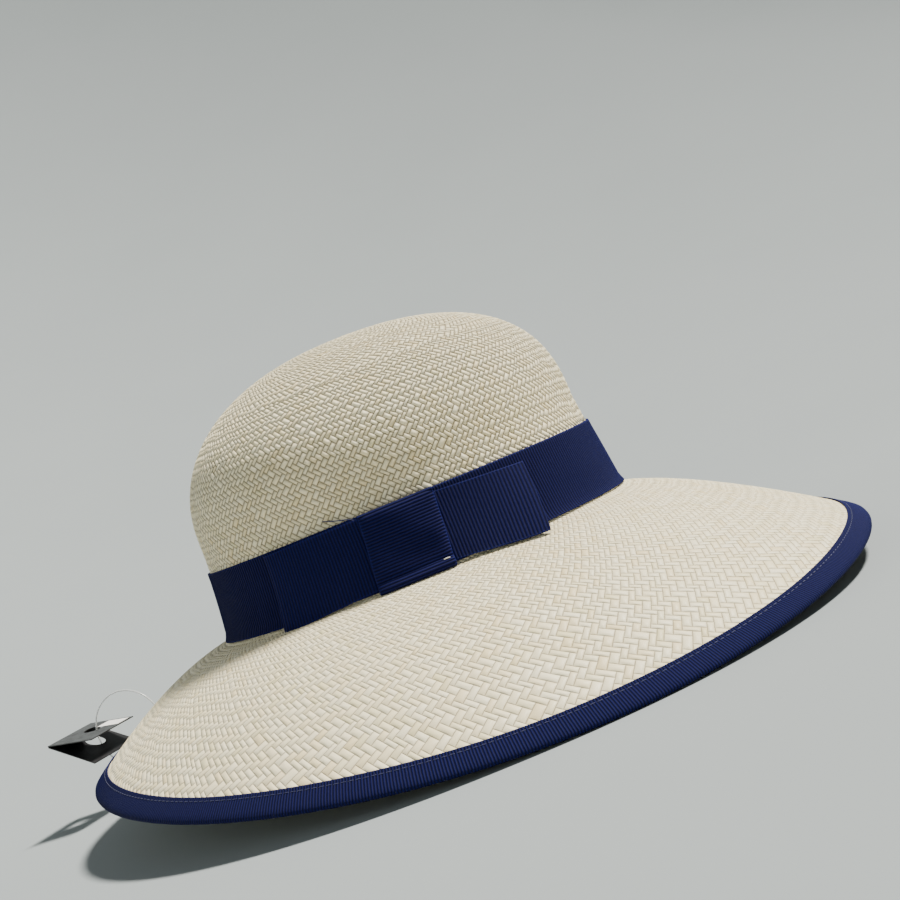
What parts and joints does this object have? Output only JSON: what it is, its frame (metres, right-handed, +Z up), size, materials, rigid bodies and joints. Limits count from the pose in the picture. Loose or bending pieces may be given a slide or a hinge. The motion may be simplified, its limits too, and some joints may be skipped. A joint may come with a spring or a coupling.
{
  "type": "panama hat",
  "caption": "Wide-brimmed woven straw hat with rounded crown, drooping bound brim, ribbon band with a flat tailored bow, sweatband and a folded swing tag on a loop.",
  "frame": {"origin": "centre of the footprint, at the level of the brim's lowest edge", "axes": "+Z up along the crown's axis, +X the wearer's front, -Y the wearer's right, where the bow sits"},
  "size_m": [0.4418, 0.3824, 0.1872],
  "materials": {
    "straw": "woven palm straw, satin, natural ivory",
    "sprung_wire": "drawn spring wire",
    "joiner_metal": "crimped tube",
    "grosgrain": "navy ribbed grosgrain ribbon, low sheen",
    "navy_thread": "polyester sewing thread",
    "pale_thread": "cotton sewing thread",
    "sweatband_cloth": "woven cotton tape, matt",
    "label_cloth": "blank woven label",
    "nylon": "clear nylon filament",
    "black_card": "black laminated card, glossy",
    "white_paper": "blank paper sticker"
  },
  "bodies": {
    "hat": {"straw_body": "straw", "edge_wire": "sprung_wire", "edge_wire_joiner": "joiner_metal", "rim_binding": "grosgrain", "rim_needle_thread": "navy_thread", "rim_bobbin_thread": "navy_thread", "hat_band": "grosgrain", "bow_rear_loop": "grosgrain", "bow_front_loop": "grosgrain", "bow_centre_wrap": "grosgrain", "bow_tail_strip": "grosgrain", "bow_tack_stitch": "pale_thread", "loose_thread_end": "navy_thread", "sweatband": "sweatband_cloth", "sweatband_thread": "pale_thread", "size_label": "label_cloth"},
    "loop": {"tag_loop": "nylon"},
    "tag": {"tag_lower_leaf": "black_card"},
    "cover": {"tag_upper_leaf": "black_card", "tag_sticker": "white_paper"}
  },
  "joints": [
    {"name": "loop_swing", "type": "hinge", "parent": "hat", "child": "loop", "pos_m": [-0.15639, 0.05756, 0.03616], "axis": [-0.333, -0.9429, 0], "range_deg": [-10, 95]},
    {"name": "tag_swing", "type": "hinge", "parent": "loop", "child": "tag", "pos_m": [-0.19647, 0.07171, 0.04119], "axis": [-0.333, -0.9429, 0], "range_deg": [-10, 14]},
    {"name": "card_fold", "type": "hinge", "parent": "tag", "child": "cover", "pos_m": [-0.22094, 0.06, 0.04586], "axis": [0.4695, 0.8829, 0], "range_deg": [-6, 18]}
  ]
}
